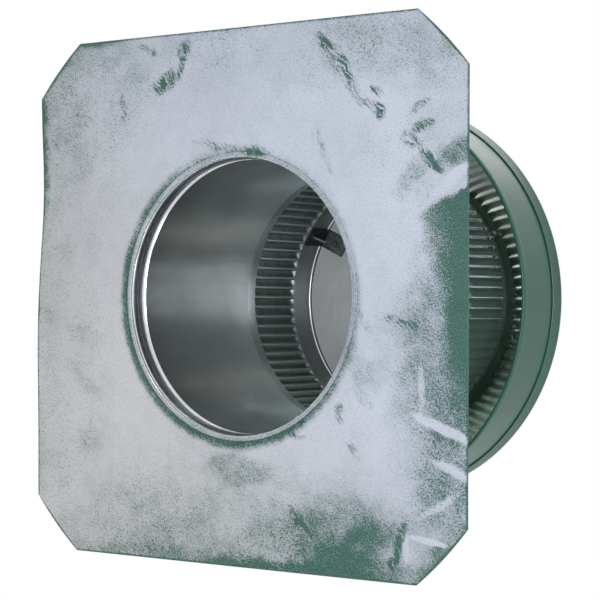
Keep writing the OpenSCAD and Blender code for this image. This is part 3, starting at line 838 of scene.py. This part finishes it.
def cap():
    """The dome and its turned-down rim, from the crown out along the inside and back outside."""
    thick = 0.8
    side, rim_top, fillet = 152.7, 202.14, 5.0
    crown = math.degrees(math.atan2(rim_top - DOME_MIDDLE, side))
    inner = arc(0, DOME_MIDDLE, DOME_INSIDE, 90, crown, 48)
    inner += arc(side, rim_top, fillet - thick, crown, 0, 8)[1:] + [(155.15, 193.6)]
    outer = [(155.25, 193.14), (155.7, 193.0), (156.05, 193.2), (156.1, 193.8), (156.0, 194.2)]
    outer += arc(side, rim_top, fillet, 0, crown, 10)
    outer += arc(0, DOME_MIDDLE, DOME_INSIDE + thick, crown, 90, 48)[1:]
    # the dome's bare inside is given a dark metal colour: painted shade under the dome
    inside = mill_metal("cap_inside_painted_shade", (0.225, 0.235, 0.245, 1), 0.12)
    return spun("cap_dome", inner + outer, [0] * len(inner) + [1] * len(outer),
        [inside, SKIRT_COAT], sides=288, closed=False)


dome = cap()
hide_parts("cap")
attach(dome, "root")


# Brackets: three angle pieces of zinc-plated steel. The upright leg is screwed to the band's
# inside, and the upper leg is riveted under the cap.


def plated_steel():
    """Zinc plating, mottled, with a fine spangle in its gloss; its dark colours are painted shade
    under the cap.
    """
    material, tree, where = new_material("bracket_plating_painted_shade")
    spangle = put(tree, "ShaderNodeTexVoronoi", {"Vector": where, "Scale": 420}).outputs["Distance"]
    stain = noise(tree, where, 300, 5)
    surface(tree, stain, 0.00008, {
        # near-black to dark grey: painted shade where the brackets sit under the cap
        "Base Color": tint(tree, stain, (0.010, 0.014, 0.013, 1), (0.12, 0.14, 0.135, 1)),
        "Roughness": times(tree, spangle, 0.3, 0.35), "Metallic": 0.6})
    return material


def softened_copy(name, node, material, bevel):
    """A copy of a CAD node with its corners merged and its edges broken."""
    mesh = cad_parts[node].data.copy()
    mesh.name = name
    work = bmesh.new()
    work.from_mesh(mesh)
    bmesh.ops.remove_doubles(work, verts=work.verts, dist=1e-6)
    bmesh.ops.dissolve_limit(work, angle_limit=math.radians(1), verts=work.verts, edges=work.edges)
    work.to_mesh(mesh)
    work.free()
    mesh.materials.clear()
    mesh.materials.append(material)
    piece = linked(name, mesh)
    edge = piece.modifiers.new("edge", "BEVEL")
    edge.width, edge.segments, edge.limit_method = bevel, 2, "ANGLE"
    edge.angle_limit = math.radians(40)
    return piece


plating = plated_steel()
for number in (1, 2, 3):
    bracket = softened_copy(f"bracket_angle_{number}", f"cap_bracket_{number}", plating, 0.00025)
    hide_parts(f"cap_bracket_{number}")
    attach(bracket, "root")


# Bracket screws: three self-tapping hex screws, driven at a slant from below through the band
# and the bracket.
FIRST_SIDE = 211


def ring_tree():
    """Geometry Nodes: repeats a blank at even steps round the axis."""
    tree, given = new_group("ring_of_copies", "GeometryNodeTree",
        {"Blank": "Geometry", "Count": "Int", "Finish": "Material"}, {"Ring": "Geometry"})
    done = put(tree, "GeometryNodeSetMaterial", {
        "Geometry": repeated(tree, given["Count"], given["Blank"]), "Material": given["Finish"]})
    put(tree, "NodeGroupOutput", {0: done.outputs[0]})
    return tree


RING = ring_tree()


def level(radii, z):
    """A level ring of points at height z, from the radius at each of its sides."""
    turns = [2 * math.pi * k / len(radii) for k in range(len(radii))]
    return [(r * math.cos(t), r * math.sin(t), z) for r, t in zip(radii, turns)]


def turned_over(faces):
    """The same faces, pointing the other way."""
    return [face[:1] + face[:0:-1] for face in faces]


def screw_blank():
    """Shank with a thread cut round it, a point, a flange and a hex head, along +Z in mm."""
    sides, rows, pitch, core, crest, length, point = 24, 96, 1.3, 1.25, 1.75, 19.0, 3.0
    ridge_slope, tip, flat = 3.2, 0.08, 2.3
    rings = []
    for i in range(rows + 1):
        z = -length + length * i / rows
        taper = min(1.0, max(tip, (z + length) / point))
        ridges = [max(0.0, 1 - abs((z / pitch - k / sides) % 1.0 - 0.5) * ridge_slope)
                  for k in range(sides)]
        rings.append(level([(core + (crest - core) * ridge) * taper for ridge in ridges], z))
    for r, z in ((2.2, 0), (3.02, 0), (3.08, 0.12), (3.05, 0.4), (2.75, 0.5)):
        rings.append(level([r] * sides, z))
    # the head's flats cut off what reaches past them
    flats = []
    for k in range(sides):
        off = (2 * math.pi * k / sides + math.pi / 6) % (math.pi / 3) - math.pi / 6
        flats.append(flat / math.cos(off))
    for reach, z in ((2.5, 0.5), (2.5, 1.85), (2.28, 2.1), (1.5, 2.02), (0.9, 1.75), (0.02, 1.75)):
        rings.append(level([min(reach, cut) for cut in flats], z))
    return rings, turned_over(loft(rings, closed_along=False)[0])


def blank_mesh(name, rings, faces, place):
    """A small part's mesh, moved from its own axis to its place; place is in mm."""
    mesh = bpy.data.meshes.new(name)
    mesh.from_pydata([tuple((place @ Vector(p)) * MM) for ring in rings for p in ring], [], faces)
    mesh.shade_smooth()
    mesh.set_sharp_from_angle(angle=math.radians(40))
    return mesh


def fastener_metal(name, metal, roughness):
    """Plain metal, darker and glossier where it was rubbed."""
    dark = [c * 0.6 for c in metal[:3]] + [1]
    return mottled(name, 800, 4, dark, metal, 0.00003, roughness, spread=0.25, metallic=1.0)


def bracket_screws():
    """The first screw in its place, close under the brim's collar, and its two copies."""
    tilt, seat = math.radians(45), 3.2
    collar_foot, collar_proud, hole_radius, slip = 216.5, 0.95, 1.85, 0.15
    height = collar_foot + collar_proud * math.tan(tilt) - hole_radius / math.cos(tilt) - slip
    place = (Matrix.Rotation(math.radians(FIRST_SIDE), 4, "Z")
             @ Matrix.Translation((BAND_OUT, 0, height))
             @ Matrix.Rotation(tilt + math.pi / 2, 4, "Y") @ Matrix.Translation((0, 0, seat)))
    blank = blank_mesh("bracket_screws", *screw_blank(), place)
    return grown("bracket_screw_set", RING, blank, Count=3,
        Finish=fastener_metal("screw_steel", (0.42, 0.43, 0.44, 1), 0.2))


screws = bracket_screws()
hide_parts("bracket_screws")
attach(screws, "root")


# Rivets: aluminium blind rivets in the band's lap, the skirt's lap and the cap. Each has a domed
# head with the broken stem in its middle, and a pulled tail behind the sheets.


def rivet_blank(grip):
    """Head on top of z = 0, tail below z = -grip, in mm."""
    sides = 28
    line = [(0.01, 0.75), (0.5, 0.8), (0.62, 0.72), (0.72, 0.95), (1.2, 1.25), (1.9, 1.12),
            (2.6, 0.78), (3.1, 0.34), (3.2, 0.12), (3.2, 0.0), (1.6, 0.0), (1.6, -grip),
            (2.08, -grip - 0.2), (2.08, -grip - 1.7), (1.7, -grip - 2.15), (0.8, -grip - 2.24),
            (0.01, -grip - 2.24)]
    rings = [level([r] * sides, z) for r, z in line]
    return rings, loft(rings, closed_along=False)[0]


def radial_place(angle, radius, height):
    """Square to the wall at that angle, radius and height in mm."""
    return (Matrix.Rotation(math.radians(angle), 4, "Z")
            @ Matrix.Translation((radius, 0, height)) @ Matrix.Rotation(math.pi / 2, 4, "Y"))


def joined(name, blanks, material):
    """One mesh from several blanks."""
    work = bmesh.new()
    for blank in blanks:
        work.from_mesh(blank)
    mesh = bpy.data.meshes.new(name)
    work.to_mesh(mesh)
    work.free()
    mesh.materials.append(material)
    return linked(name, mesh)


def seam_rivets():
    """Two rivets in the band's lap and three in the skirt's, which leans out downwards."""
    bare = fastener_metal("rivet_metal", (0.62, 0.63, 0.65, 1), 0.25)
    band_face, shoulder, wall_radius, flare, fall, lap = 103.01, 193.14, 154.95, 2.0, 47, 0.95
    band = [
        blank_mesh("band_rivet", *rivet_blank(grip=1.32), radial_place(BAND_LAP_SIDE, band_face, z))
        for z in (149.45, 213.2)]
    skirt = []
    for z in (158.14, 170.14, 182.14):
        radius = wall_radius + flare * (shoulder - z) / fall + lap
        place = radial_place(SKIRT_LAP_SIDE, radius, z)
        skirt.append(blank_mesh("skirt_rivet", *rivet_blank(grip=1.9), place))
    return joined("band_rivet_pair", band, bare), joined("skirt_rivet_row", skirt, SKIRT_COAT)


band_rivets, skirt_rivets = seam_rivets()
for piece, node, finish in ((band_rivets, "band_seam_rivets", "fastener"),
                            (skirt_rivets, "skirt_seam_rivets", "green_coat")):
    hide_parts(node)
    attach(piece, "root")


# Cap rivets and washers: each bracket's upper leg is held by a coated blind rivet through the
# dome, over a black rubber washer that keeps the rain out.


def dome_place(lift):
    """Square to the dome over the first bracket, lift mm above its underside."""
    arm = 10
    lean = math.asin((BAND_IN - arm) / DOME_INSIDE)
    return (Matrix.Rotation(math.radians(FIRST_SIDE), 4, "Z")
            @ Matrix.Translation((0, 0, DOME_MIDDLE)) @ Matrix.Rotation(lean, 4, "Y")
            @ Matrix.Translation((0, 0, DOME_INSIDE + lift)))


def cap_rivets():
    """The first rivet, with its head on the washer, and its two copies."""
    blank = blank_mesh("cap_rivet", *rivet_blank(grip=3.87), dome_place(lift=2.4))
    return grown("cap_rivet_ring", RING, blank, Count=3, Finish=SKIRT_COAT)


def cap_washers():
    """Rubber rings with rounded edges, on the dome under the rivets' heads."""
    sides = 36
    line = [(1.7, 0.0), (5.7, 0.0), (6.0, 0.35), (5.9, 1.1), (5.4, 1.5), (1.7, 1.5)]
    rings = [level([r] * sides, z) for r, z in line]
    blank = blank_mesh("cap_washer", rings, turned_over(loft(rings)[0]), dome_place(lift=0.9))
    rubber = mottled("washer_rubber", scale=900, detail=4, dark=(0.012, 0.013, 0.013, 1),
        light=(0.035, 0.038, 0.037, 1), depth=0.00005, rough=0.75)
    return grown("cap_washer_ring", RING, blank, Count=3, Finish=rubber)


for piece, node, finish in ((cap_rivets(), "cap_rivets", "green_coat"),
                            (cap_washers(), "cap_washers", "washer")):
    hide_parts(node)
    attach(piece, "root")
